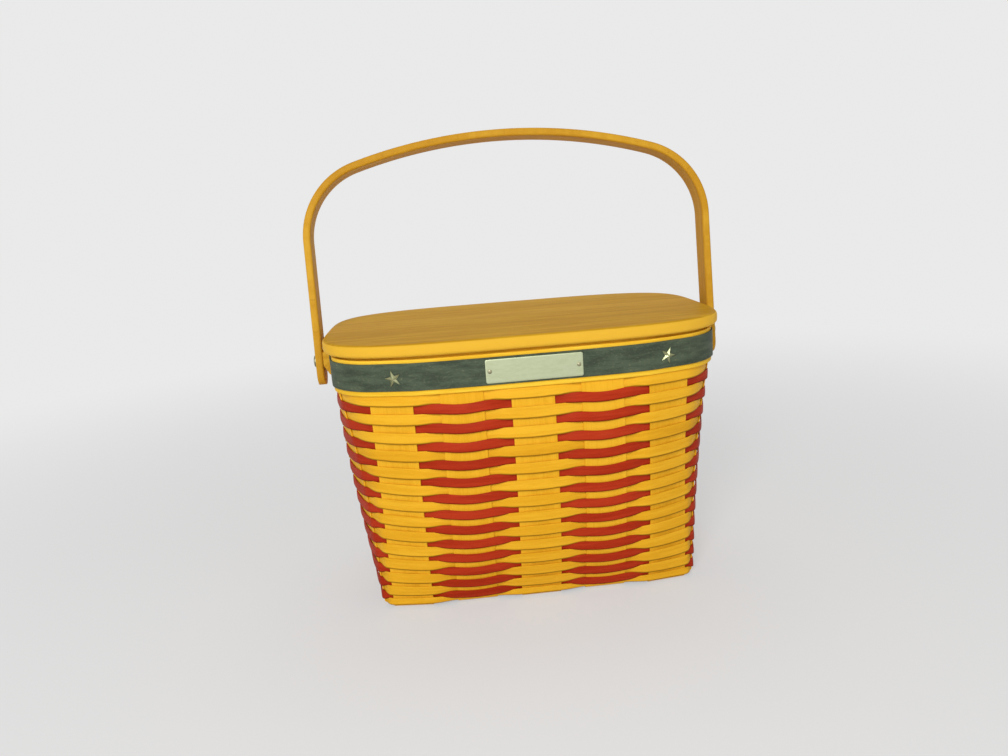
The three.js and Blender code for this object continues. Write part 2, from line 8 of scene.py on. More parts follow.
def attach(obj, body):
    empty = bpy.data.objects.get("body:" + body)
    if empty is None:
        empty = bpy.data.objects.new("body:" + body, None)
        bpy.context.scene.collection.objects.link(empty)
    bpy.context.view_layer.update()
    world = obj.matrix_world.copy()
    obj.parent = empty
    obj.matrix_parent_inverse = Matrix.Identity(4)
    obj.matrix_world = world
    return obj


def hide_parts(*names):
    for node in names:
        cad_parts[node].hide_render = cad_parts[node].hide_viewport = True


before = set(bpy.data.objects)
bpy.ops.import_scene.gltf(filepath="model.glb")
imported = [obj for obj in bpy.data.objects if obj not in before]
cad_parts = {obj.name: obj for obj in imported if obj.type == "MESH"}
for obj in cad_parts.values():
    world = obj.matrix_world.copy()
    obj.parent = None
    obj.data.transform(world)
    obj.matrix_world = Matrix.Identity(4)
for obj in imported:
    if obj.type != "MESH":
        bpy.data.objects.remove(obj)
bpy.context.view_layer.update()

# Sizes in millimetres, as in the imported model
MM = 0.001
RIM_HALF = (173.1, 112.6)
BASE_HALF = (151.1, 79.1)
RIM_SQUARENESS = 3.9
BASE_SQUARENESS = 9.0
END_CURVE, SIDE_CURVE = 1.4, 2.4
END_FULLNESS, SIDE_FULLNESS = 2.6, 4.0
MIDDLE_ROUNDING = 0.145
WALL_FOOT = 4.0
BAND_FOOT = 209.0
RIM_TOP = 240.0
SPLINT_WIDTH = 37.0
SPLINT_THICKNESS = 1.2
SPLINT_TOP = 239.5
SPLINT_CORNER = 0.35
CROSS_PITCH = 60.0
LONG_PITCH = 48.0
CROSS_PLACES = (-2, -1, 0, 1, 2)
LONG_PLACES = (-1, 0, 1)
BASE_LEVEL = 1.35
BASE_WAVE = 0.75
BEND_RUN = 3.0
WEAVER_ROWS = 27
WEAVER_THICKNESS = 1.0
ROWS_FOOT = 4.3
ROW_CROWDING = 0.15
BAND_INSIDE, BAND_OUTSIDE = 0.9, 3.4
STRIP_FOOT, STRIP_TOP = 213.6, 237.2
STRIP_MIDDLE = 225.4
STRIP_INSIDE, STRIP_OUTSIDE = 3.42, 4.9
INNER_FOOT, INNER_TOP = 211.4, 242.4
INNER_INSIDE, INNER_OUTSIDE = -3.9, -0.9
FITTING_GAP = 0.3
LID_FOOT, LID_THICKNESS = 242.7, 11.0
LID_HALF = (181.0, 120.5)
LEG_MIDDLE = 190.2
FOOT_DROP = 10.3
LEG_HEIGHT = 112.0
ARCH_RISE = 88.0
SHOULDER_RADIUS = 70.0
HANDLE_WIDTH, HANDLE_THICKNESS = 25.0, 7.0
HANDLE_LEAN = math.radians(6.7)

# The rows as they are seen: how tall a row is where it passes outside a splint, how far the row
# lines dip over a splint, and how far the lowest rows are pushed down
NATURAL_TALL, RED_TALL = 9.5, 8.5
RED_TOP_DIP, RED_FOOT_DIP, NATURAL_DIP = 1.8, 1.4, 0.5
SHARE_BELOW, SHARE_ABOVE = 0.7, 0.3
LOWEST_DROP, DROP_START, DROP_RUN = 1.8, 0.6, 0.35
WEAVER_SWING, WEAVER_LEAN, WEAVER_CUP = 1.45, 0.5, 0.22

# Wood grain is drawn this many times longer than it is wide
GRAIN_LENGTH = 22.0

rng = np.random.default_rng(11)


# ---- The wall's outline ----

def wall_plan(z):
    """Half length, half width and squareness of the wall's superellipse at a height. With climb
    running from the foot to the rim band, the share of the rim's size is 1 - (1 - climb) to a
    power, and fullness and roundness are added as 4 climb (1 - climb)."""
    climb = np.clip((z - WALL_FOOT) / (BAND_FOOT - WALL_FOOT), 0, 1)
    middle = 4 * climb * (1 - climb)
    end_share = 1 - (1 - climb) ** END_CURVE
    side_share = 1 - (1 - climb) ** SIDE_CURVE
    half_length = BASE_HALF[0] + (RIM_HALF[0] - BASE_HALF[0]) * end_share + END_FULLNESS * middle
    half_width = BASE_HALF[1] + (RIM_HALF[1] - BASE_HALF[1]) * side_share + SIDE_FULLNESS * middle
    roundness = 1 / BASE_SQUARENESS + (1 / RIM_SQUARENESS - 1 / BASE_SQUARENESS) * end_share
    return half_length, half_width, 1 / (roundness + MIDDLE_ROUNDING * middle)


def turn_at_x(x, plan):
    return np.arccos((np.abs(x) / plan[0]) ** (plan[2] / 2))


def turn_at_y(y, plan):
    return np.arcsin((np.abs(y) / plan[1]) ** (plan[2] / 2))


def outline_point(turn, plan):
    """Superellipse point: x = a cos(turn)^(2/n), y = b sin(turn)^(2/n)."""
    a, b, n = plan
    return a * np.cos(turn) ** (2 / n), b * np.sin(turn) ** (2 / n)


LAST_CROSS = 2 * CROSS_PITCH + SPLINT_WIDTH / 2
LAST_LONG = LONG_PITCH + SPLINT_WIDTH / 2

# Steps of the walk across a splint, across a gap on each kind of side, and across each of a
# corner's parts
SPLINT_STEPS, SIDE_GAP_STEPS, END_GAP_STEPS, CORNER_STEPS = 16, 12, 8, 3
CORNER_PARTS = 8


def splint_wave(place):
    """1 where a natural row passes outside the splint, and -1 where it passes inside."""
    return 1.0 if place % 2 == 0 else -1.0


def side_keys(places, pitch, heading):
    """Edges of one side's splints in walking order, each with its splint's wave."""
    return [
        (heading * (place * pitch + edge * SPLINT_WIDTH / 2), splint_wave(place))
        for place in places for edge in (-1, 1)
    ]


def walk_round():
    """The walk round the wall as rows of (kind, value, x sign, y sign, wave, steps to the next).
    Kind 0 has a given x, kind 1 a given y, and kind 2 a share of a corner."""
    keys = []
    for side, (places, pitch, kind, sx, sy, heading) in enumerate((
        (CROSS_PLACES, CROSS_PITCH, 0, 0, -1, 1), (LONG_PLACES, LONG_PITCH, 1, 1, 0, 1),
        (CROSS_PLACES, CROSS_PITCH, 0, 0, 1, -1), (LONG_PLACES, LONG_PITCH, 1, -1, 0, -1),
    )):
        edges = side_keys(places, pitch, heading)
        gap_steps = SIDE_GAP_STEPS if kind == 0 else END_GAP_STEPS
        for number, (value, wave) in enumerate(edges):
            steps = SPLINT_STEPS if number % 2 == 0 else gap_steps
            signs = (np.sign(value), sy) if kind == 0 else (sx, np.sign(value))
            keys.append((kind, abs(value), *signs, wave, steps))
        keys[-1] = (*keys[-1][:5], CORNER_STEPS)
        corner = ((1, -1), (1, 1), (-1, 1), (-1, -1))[side]
        for part in range(1, CORNER_PARTS):
            share = part / CORNER_PARTS
            wave = math.cos(math.pi * share) * (1 if kind == 0 else -1)
            keys.append((2, share if kind == 0 else 1 - share, *corner, wave, CORNER_STEPS))
    return np.array(keys, float)


WALK = walk_round()


def key_points(z):
    """The walk's key points on the wall's middle surface at one height."""
    plan = wall_plan(z)
    kind, value, sx, sy = WALK[:, 0], WALK[:, 1], WALK[:, 2], WALK[:, 3]
    first, last = turn_at_x(LAST_CROSS, plan), turn_at_y(LAST_LONG, plan)
    on_side = turn_at_x(np.where(kind == 0, value, 0), plan)
    on_end = turn_at_y(np.where(kind == 1, value, 0), plan)
    in_corner = first + (last - first) * value
    turn = np.where(kind == 0, on_side, np.where(kind == 1, on_end, in_corner))
    x, y = outline_point(turn, plan)
    return np.column_stack([x * sx, y * sy])


def along_walk(values, ease=False):
    """Values at the keys carried to every step of the walk, in a straight line or eased as half a
    cosine wave."""
    following = np.roll(values, -1, axis=0)
    parts = []
    for start, end, steps in zip(values, following, WALK[:, 5].astype(int)):
        share = np.arange(steps) / steps
        if ease:
            share = (1 - np.cos(np.pi * share)) / 2
        parts.append(start + (end - start) * (share[:, None] if np.ndim(start) else share))
    return np.concatenate(parts)


def softened(values, times):
    """Closed row of values averaged with its neighbours, 1-2-1, several times."""
    for _ in range(times):
        values = (np.roll(values, 1, 0) + 2 * values + np.roll(values, -1, 0)) / 4
    return values


WAVE = along_walk(WALK[:, 4], ease=True)
STEPS = len(WAVE)
CROWN_SOFTENING, OUTLINE_SOFTENING = 3, 6
CROWN_RISE, CROWN_STEEPNESS, CROWN_MARGIN = 0.8, 3, 10


def crown_row():
    """How far each step stands into its splint: 1 - (2t - 1)^2 across a splint and 0 elsewhere."""
    parts = []
    for steps in WALK[:, 5]:
        share = np.arange(int(steps)) / steps
        parts.append(1 - (2 * share - 1) ** 2 if steps == SPLINT_STEPS else 0 * share)
    return softened(np.concatenate(parts), CROWN_SOFTENING)


CROWN = crown_row()


def crown_height(z):
    """The wall's splints stand out by up to this much at mid height, and not at the rim or base."""
    climb = np.clip((z - WALL_FOOT) / (BAND_FOOT - CROWN_MARGIN - WALL_FOOT), 0, 1)
    return CROWN_RISE * np.clip(CROWN_STEEPNESS * np.sin(math.pi * climb), 0, 1)


def wall_walk(z):
    """Points and outward normals of the wall's middle surface at one height, all round."""
    points = softened(along_walk(key_points(z)), OUTLINE_SOFTENING)
    ahead = np.roll(points, -1, 0) - np.roll(points, 1, 0)
    normals = np.column_stack([ahead[:, 1], -ahead[:, 0]])
    normals /= np.linalg.norm(normals, axis=1, keepdims=True)
    return points + normals * (CROWN * crown_height(z))[:, None], normals


# ---- Turning grids of points into pieces ----

# A section's support points stand this share of the radius, and this much more, off its corners
SUPPORT_SHARE, SUPPORT_EXTRA = 0.6, 0.25
SMOOTH_BELOW = 38


def strip_section(width, thickness, radius, steps=3, middles=0):
    """Rounded rectangle as rows of (across, through), with a support point beside each corner and
    more points along its two broad faces."""
    half = np.array([width / 2, thickness / 2])
    points = []
    for quarter, (sx, sy) in enumerate(((1, 1), (-1, 1), (-1, -1), (1, -1))):
        centre = (half - radius) * (sx, sy)
        angles = np.pi / 2 * (quarter + np.arange(steps + 1) / steps)
        arc = centre + radius * np.column_stack([np.cos(angles), np.sin(angles)])
        across_first = quarter % 2 == 1
        lead = np.array([-sx, 0]) if across_first else np.array([0, -sy])
        tail = np.array([0, -sy]) if across_first else np.array([-sx, 0])
        room = half - radius
        reach = np.minimum(room * SUPPORT_SHARE, SUPPORT_SHARE * radius + SUPPORT_EXTRA)
        points += [arc[0] + lead * reach, *arc, arc[-1] + tail * reach]
        if middles and not across_first:
            across, through = points[-1]
            spread = np.linspace(across, -across, middles + 2)[1:-1]
            points += [*np.column_stack([spread, np.full(middles, through)])]
    return np.array(points)


def skin(rings, poles=None):
    """Faces of a grid of closed rings. The last ring meets the first, or each end ring fans in to
    its own pole."""
    count, around = rings.shape[:2]
    rows = np.arange(count if poles is None else count - 1)[:, None]
    columns = np.arange(around)[None, :]
    following, beyond = (columns + 1) % around, (rows + 1) % count
    quads = np.stack([
        rows * around + columns, rows * around + following,
        beyond * around + following, beyond * around + columns,
    ], -1).reshape(-1, 4)
    points = rings.reshape(-1, 3)
    faces = quads.tolist()
    if poles is not None:
        points = np.concatenate([points, np.array(poles, float)])
        first, last = len(points) - 2, len(points) - 1
        base = (count - 1) * around
        ring = np.arange(around)
        after = (ring + 1) % around
        faces += np.column_stack([np.full(around, first), after, ring]).tolist()
        faces += np.column_stack([np.full(around, last), base + ring, base + after]).tolist()
    return points, faces


def enclosed_volume(points, faces):
    """Six times the volume inside the faces, by the sum of each corner fan's triple product."""
    total = 0.0
    for size in (3, 4):
        index = np.array([face for face in faces if len(face) == size], int)
        if len(index):
            for k in range(1, size - 1):
                a, b, c = points[index[:, 0]], points[index[:, k]], points[index[:, k + 1]]
                total += np.einsum("ij,ij->", a, np.cross(b, c))
    return total


def make_piece(name, points, faces, finish, body, grain, crease=SMOOTH_BELOW):
    """Puts millimetre points and faces into a named piece that stands for the node of that name.
    Edges that turn by more than the crease angle, in degrees, stay sharp."""
    if enclosed_volume(points, faces) < 0:
        faces = [face[::-1] for face in faces]
    mesh = bpy.data.meshes.new(name)
    mesh.from_pydata((points * MM).tolist(), [], faces)
    mesh.shade_smooth()
    mesh.set_sharp_from_angle(angle=math.radians(crease))
    layer = mesh.attributes.new("grain", "FLOAT_VECTOR", "POINT")
    layer.data.foreach_set("vector", np.ascontiguousarray(grain, np.float32).ravel())
    mesh.materials.append(finish.material)
    piece = bpy.data.objects.new(name, mesh)
    bpy.context.scene.collection.objects.link(piece)
    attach(piece, body)
    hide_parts(name.removesuffix("_shown"))
    return piece


def give_rise(piece, rise):
    """Marks how high each point is on its piece, where -1 takes the finish's edge colour: painted
    shade under the rows' lower edges and a painted highlight on the lid's edge.
    """
    layer = piece.data.attributes.new("rise", "FLOAT", "POINT")
    layer.data.foreach_set("value", np.ascontiguousarray(np.clip(rise, -1, 1), np.float32))


def grain_lot(number):
    """Shift of the grain pattern that gives a piece wood of its own."""
    return np.array([37.0 * number, 11.0 * number, 53.0 * number])


def ring_grain(points, number):
    """Grain that runs round a closed ring: its length is wound on a small circle, so that it meets
    itself, and its height is kept."""
    steps, around = points.shape[:2]
    middle = points.mean(axis=1)
    stride = np.linalg.norm(np.roll(middle, -1, 0) - middle, axis=1)
    turn = 2 * np.pi * np.concatenate([[0], np.cumsum(stride)[:-1]]) / stride.sum()
    radius = stride.sum() / (2 * np.pi * GRAIN_LENGTH)
    grain = np.empty_like(points)
    grain[..., 0] = (radius * np.cos(turn))[:, None]
    grain[..., 1] = (radius * np.sin(turn))[:, None]
    grain[..., 2] = points[..., 2]
    return grain.reshape(-1, 3) + grain_lot(number)


def length_grain(points, across, number):
    """Grain that runs along an open strip: its length is drawn in, and its width is kept."""
    middle = points.mean(axis=1)
    stride = np.linalg.norm(np.diff(middle, axis=0), axis=1)
    length = np.concatenate([[0], np.cumsum(stride)]) / GRAIN_LENGTH
    grain = np.zeros_like(points)
    grain[..., 0] = length[:, None]
    grain[..., 2] = across
    ends = np.zeros((2, 3))
    ends[1, 0] = length[-1]
    return np.concatenate([grain.reshape(-1, 3), ends]) + grain_lot(number)


# ---- Finishes ----

def colour(red, green, blue):
    """Screen colour, 0 to 255, as the linear colour that a shader takes."""
    share = np.array([red, green, blue]) / 255
    linear = np.where(share <= 0.04045, share / 12.92, ((share + 0.055) / 1.055) ** 2.4)
    return (*linear.tolist(), 1.0)


class Flow:
    """A value that changes over a surface. Arithmetic on it adds Math nodes."""

    def __init__(self, finish, socket):
        self.finish = finish
        self.socket = socket

    def _math(self, operation, first, second):
        return self.finish.node("ShaderNodeMath", {"operation": operation}, {0: first, 1: second})

    def __add__(self, other):
        return self._math("ADD", self, other)

    def __mul__(self, other):
        return self._math("MULTIPLY", self, other)

    def __sub__(self, other):
        return self._math("SUBTRACT", self, other)

    def __rsub__(self, other):
        return self._math("SUBTRACT", other, self)

    def least(self, other):
        return self._math("MINIMUM", self, other)

    def between(self, low, high):
        """0 at low, 1 at high and smooth between."""
        settings = {"interpolation_type": "SMOOTHSTEP", "clamp": True}
        values = {"Value": self, "From Min": low, "From Max": high}
        return self.finish.node("ShaderNodeMapRange", settings, values)


class Finish:
    """A material under construction: its nodes, its slot in the record and its main shader."""

    def __init__(self, name, slot):
        self.slot = slot
        self.material = bpy.data.materials.new(name)
        self.material.use_nodes = True
        self.tree = self.material.node_tree
        self.tree.nodes.clear()

    def node(self, kind, settings=None, values=None, output=0):
        """Adds a node, sets its settings, fills or links its sockets and returns one output."""
        made = self.tree.nodes.new(kind)
        for key, setting in (settings or {}).items():
            setattr(made, key, setting)
        for key, value in (values or {}).items():
            socket = self._socket(made, key)
            if isinstance(value, Flow):
                self.tree.links.new(value.socket, socket)
            else:
                socket.default_value = value
        return Flow(self, made.outputs[output])

    @staticmethod
    def _socket(made, key):
        if isinstance(key, int):
            return made.inputs[key]
        named = [socket for socket in made.inputs if socket.identifier == key]
        return named[0] if named else made.inputs[key]

    def show(self, shader):
        output = self.tree.nodes.new("ShaderNodeOutputMaterial")
        self.tree.links.new(shader.socket, output.inputs["Surface"])

    def surface(self, **values):
        """The main shader, with its constants and links, joined to the material's output."""
        named = {key.replace("_", " "): value for key, value in values.items()}
        self.show(self.node("ShaderNodeBsdfPrincipled", None, named))

    def grain_place(self, scale=(1, 1, 1)):
        """The piece's own grain coordinates in millimetres, scaled."""
        place = self.node("ShaderNodeAttribute", {"attribute_name": "grain"}, output=1)
        return self.node("ShaderNodeMapping", None, {"Vector": place, "Scale": scale})

    def noise(self, place, scale, detail=3.0, roughness=0.55, distortion=0.0):
        values = {
            "Vector": place, "Scale": scale, "Detail": detail,
            "Roughness": roughness, "Distortion": distortion,
        }
        return self.node("ShaderNodeTexNoise", {"noise_dimensions": "3D"}, values)

    def blend(self, first, second, share):
        """Colour between two others."""
        values = {"A_Color": first, "B_Color": second, "Factor_Float": share}
        return self.node("ShaderNodeMix", {"data_type": "RGBA"}, values, output=2)

    def bumped(self, height, strength, distance):
        values = {"Height": height, "Strength": strength, "Distance": distance}
        return self.node("ShaderNodeBump", None, values)


def stained_wood(name, slot, tones, gloss, figure=1.0, wear=None, edge=None, shine=0.07):
    """Stained maple: broad changes of tone, long soft grain, fine dark pores, and stain gathered
    in spots. Tones are the pale, middle and dark colours. An edge colour shows where the piece's
    rise is near -1: painted shade along a row's lower edge, and a painted highlight over the
    lid's rounded edge and sides."""
    finish = Finish(name, slot)
    place = finish.grain_place()
    broad = finish.noise(place, 0.018, 2.0)
    bands = finish.noise(place, 0.22, 4.0, 0.6, 0.4)
    fibres = finish.noise(place, 1.6, 3.0, 0.6)
    pores = finish.noise(finish.grain_place(scale=(2.2, 2.2, 1.0)), 3.2, 2.0, 0.5)
    pore = pores.between(0.66, 0.76)
    tone = (broad.between(0.3, 0.7) * 0.34 + bands.between(0.34, 0.68) * 0.42 * figure
            + fibres.between(0.3, 0.7) * 0.26)
    mixed = finish.blend(tones[0], tones[1], tone.between(0.12, 0.75))
    deep = finish.blend(mixed, tones[2], tone.between(0.65, 1.25) * 0.55)
    marked = finish.blend(deep, tones[2], pore * 0.3)
    if wear is not None:
        scuffs = finish.noise(finish.grain_place(scale=(0.8, 0.8, 1.0)), 0.5, 5.0, 0.7)
        marked = finish.blend(marked, wear, scuffs.between(0.6, 0.74) * 0.35)
    # Painted light: the edge colour lays painted shade under the rows' lower edges and a painted
    # highlight over the lid's rounded edge and sides
    if edge is not None:
        rise = finish.node("ShaderNodeAttribute", {"attribute_name": "rise"}, output=2)
        marked = finish.blend(marked, edge, (rise * -1.0).between(0.66, 0.92) * 0.9)
    height = bands * 0.5 + fibres * 0.35 - pore * 0.4
    finish.surface(
        Base_Color=marked,
        Roughness=(fibres * 0.22 + broad * 0.12 + (gloss - 0.17)).least(1.0),
        Normal=finish.bumped(height, 0.35, 0.00025),
        Specular_IOR_Level=shine,
    )
    return finish


def painted_strip():
    """Worn grey-green paint over wood: clouds of darker paint, thin places and rubbed specks."""
    finish = Finish("worn_strip_paint", "rim_paint")
    place = finish.grain_place()
    streaks = finish.noise(place, 0.9, 4.0, 0.65)
    cloud = finish.noise(finish.grain_place(scale=(5, 5, 1)), 0.16, 4.0, 0.6)
    specks = finish.noise(finish.grain_place(scale=(12, 12, 1)), 0.8, 3.0, 0.6)
    dark, middle, pale = colour(56, 66, 52), colour(80, 91, 72), colour(112, 120, 92)
    rubbed = colour(150, 146, 104)
    base = finish.blend(dark, middle, (streaks * 0.15 + cloud * 0.85).between(0.34, 0.64))
    thin = finish.blend(base, pale, specks.between(0.5, 0.72) * 0.25)
    worn = finish.blend(thin, rubbed, (specks * 0.6 + cloud * 0.4).between(0.6, 0.7) * 0.45)
    finish.surface(
        Base_Color=worn,
        Roughness=streaks * 0.25 + 0.48,
        Normal=finish.bumped(streaks + cloud * 0.5, 0.35, 0.0002),
        Specular_IOR_Level=0.2,
    )
    return finish


def plain_metal(name, slot, bright, dull, roughness, brushed):
    """Dull metal: fine brushing or mottling, and grime in patches."""
    finish = Finish(name, slot)
    scale = (1.0, 1.0, 1.0) if brushed else (GRAIN_LENGTH, GRAIN_LENGTH, 1.0)
    brushing = finish.noise(finish.grain_place(scale=scale), 4.0, 3.0, 0.7)
    grime = finish.noise(finish.grain_place(scale=(6, 6, 1)), 0.35, 4.0, 0.65)
    shade = grime.between(0.36, 0.7) * 0.75 + brushing.between(0.3, 0.7) * 0.25
    finish.surface(
        Base_Color=finish.blend(bright, dull, shade),
        Metallic=1.0,
        Roughness=grime * 0.3 + brushing * 0.12 + (roughness - 0.2),
        Normal=finish.bumped(brushing * 0.5 + grime, 0.25, 0.0001),
    )
    return finish


NATURAL = stained_wood(
    "honey_splint", "natural_splint",
    (colour(240, 182, 44), colour(229, 167, 32), colour(196, 130, 18)), 0.5, figure=0.6,
)
# The honey weaver's edge colour is painted shade under each row's lower edge
NATURAL_ROW = stained_wood(
    "honey_weaver", "natural_splint",
    (colour(240, 182, 44), colour(229, 167, 32), colour(192, 126, 18)), 0.5,
    edge=colour(136, 92, 8),
)
# The red weaver's edge colour is painted shade under each row's lower edge
RED = stained_wood(
    "red_splint_stain", "red_splint",
    (colour(184, 56, 26), colour(166, 44, 16), colour(118, 26, 10)), 0.5,
    wear=colour(200, 92, 56), edge=colour(110, 24, 8),
)
RIM_WOOD = stained_wood(
    "honey_rim_band", "rim_wood",
    (colour(252, 208, 66), colour(240, 188, 46), colour(198, 134, 26)), 0.5,
)
# The lid's edge colour is a painted highlight, paler than its top, over its rounded edge and sides
LID_WOOD = stained_wood(
    "lid_maple", "lid_wood",
    (colour(214, 164, 38), colour(197, 145, 28), colour(162, 106, 18)), 0.5, figure=1.2, shine=0.03,
    edge=colour(236, 184, 58),
)
HANDLE_WOOD = stained_wood(
    "bent_maple", "handle_wood",
    (colour(216, 166, 50), colour(198, 144, 36), colour(156, 100, 22)), 0.5, figure=1.1,
)
STRIP_PAINT = painted_strip()
TAG_METAL = plain_metal(
    "dull_tag_plate", "tag_metal", colour(196, 204, 170), colour(184, 192, 156), 0.46, True,
)
STAR_METAL = plain_metal(
    "worn_star", "star_metal", colour(196, 200, 158), colour(124, 128, 90), 0.42, False,
)
STEEL = plain_metal(
    "dull_fastener", "fastener_metal", colour(182, 180, 150), colour(126, 122, 94), 0.45, False,
)


# ---- Woven wall ----

WOBBLE_WAVES = 5


def wobble(size):
    """Small closed wander round the basket: a sum of a few sine waves with whole turns."""
    turn = 2 * np.pi * np.arange(STEPS) / STEPS
    turns = rng.integers(2, 15, WOBBLE_WAVES)
    phases = rng.uniform(0, 2 * np.pi, WOBBLE_WAVES)
    return size * np.sin(turns[:, None] * turn + phases[:, None]).sum(axis=0) / 2


def row_line(rows_above):
    """Height of the line between two rows: the share of the rows above it, drawn on by the
    crowding times share (1 - share), so that the rows crowd towards the base."""
    share = rows_above / WEAVER_ROWS
    return BAND_FOOT + (ROWS_FOOT - BAND_FOOT) * (share + ROW_CROWDING * share * (1 - share))


def seen_edge(rows_above):
    """Height, all round, of the edge seen between two rows. A row that passes outside a splint
    covers some of its neighbours, and has its full natural or red height there. Each edge also
    dips over the middle of a splint, most of all along the red rows, and the lowest rows are
    pushed down by the drop times 3 s^2 - 2 s^3."""
    low = np.clip((rows_above / WEAVER_ROWS - DROP_START) / DROP_RUN, 0, 1)
    line = row_line(rows_above) - LOWEST_DROP * low ** 2 * (3 - 2 * low)
    pitch = row_line(rows_above - 0.5) - row_line(rows_above + 0.5)
    natural_extra = np.clip(NATURAL_TALL - pitch, 0.6, 3.0)
    red_extra = np.clip(RED_TALL - pitch, -0.2, 2.0)
    outside, inside = (1 + WAVE) / 2, (1 - WAVE) / 2
    if rows_above % 2 == 1:
        natural_foot = SHARE_BELOW * natural_extra + NATURAL_DIP * CROWN
        return line - outside * natural_foot - inside * RED_TOP_DIP * CROWN
    red_foot = red_extra + RED_FOOT_DIP * CROWN
    return line + outside * SHARE_ABOVE * natural_extra - inside * red_foot


def weaver(row):
    """One woven row: a thin strip whose middle swings in and out as its wave goes round. It meets
    its neighbours in the seen edges, and runs on behind them where it passes inside. With rise
    from -1 at its foot to 1 at its top, it leans by the lean times rise, and its face is cupped by
    the cup times (1 - rise^2). The first row also reaches up behind the outer band wherever its
    wave leaves room, and the last one stops above the base."""
    natural = row % 2 == 1
    wave = WAVE if natural else -WAVE
    edge_wobble, swing_wobble, lowest_foot = 0.05, 0.07, 3.3
    top = seen_edge(row - 1) + 0.15 + np.clip((0.35 - wave) / 1.35, 0, 1) + wobble(edge_wobble)
    foot = seen_edge(row) - 0.1 - np.clip((-0.35 - wave) / 0.65, 0, 1) + wobble(edge_wobble)
    if row == 1:
        top = BAND_FOOT - 0.1 + 2.3 * np.clip((0.68 - wave) / 0.26, 0, 1)
    if row == WEAVER_ROWS:
        foot = np.maximum(foot, lowest_foot)
    half_section, corner = 4.0, 0.3
    section = strip_section(2 * half_section, WEAVER_THICKNESS, corner, 2, 3)
    rise, through = section[:, 0] / half_section, section[:, 1]
    height = (top + foot)[:, None] / 2 + (top - foot)[:, None] / 2 * rise
    swing = WEAVER_SWING * wave + wobble(swing_wobble)
    offset = swing[:, None] - WEAVER_LEAN * rise + WEAVER_CUP * (1 - rise ** 2) + through
    middle, reach = height.mean(), 5
    low, normals = wall_walk(middle - reach)
    high, _ = wall_walk(middle + reach)
    share = (height - middle + reach) / (2 * reach)
    wall = low[:, None] + (high - low)[:, None] * share[..., None]
    plan = wall + normals[:, None] * offset[..., None]
    rings = np.concatenate([plan, height[..., None]], axis=2)
    points, faces = skin(rings)
    node = f"weaver_{row:02d}_{'natural' if natural else 'red'}"
    finish = NATURAL_ROW if natural else RED
    piece = make_piece(f"{node}_shown", points, faces, finish, "basket", ring_grain(rings, row))
    # Rise near -1 along the row's foot takes the finish's edge colour, painted shade under the
    # row's lower edge
    give_rise(piece, np.tile(rise, STEPS))


def even_ring(name, finish, low, high, inside, outside, radius, number):
    """Band at an even distance from the wall: a rounded section carried all round."""
    section = strip_section(high - low, outside - inside, radius)
    plan, normals = wall_walk((low + high) / 2)
    offset = (inside + outside) / 2 + section[:, 1]
    height = np.broadcast_to((low + high) / 2 + section[:, 0], (STEPS, len(section)))
    rings = np.concatenate([
        plan[:, None] + normals[:, None] * offset[None, :, None], height[..., None],
    ], axis=2)
    points, faces = skin(rings)
    make_piece(f"{name}_shown", points, faces, finish, "basket", ring_grain(rings, number))


def splint_edges(first, second, along_x, side, z):
    """The wall's points on a splint's two edges at each height, on one side of the basket."""
    edges = []
    for value in (first, second):
        plan = wall_plan(z)
        turn = turn_at_y(value, plan) if along_x else turn_at_x(value, plan)
        x, y = outline_point(turn, plan)
        level = np.full_like(z, value)
        edges.append(np.column_stack((side * x, level) if along_x else (level, side * y)))
    return edges


# Rows of points along a splint: up each wall, round each bend and across the base
SPLINT_SUPPORT = 224.0
WALL_ROWS, BEND_ROWS, BASE_ROWS = 44, 6, 72


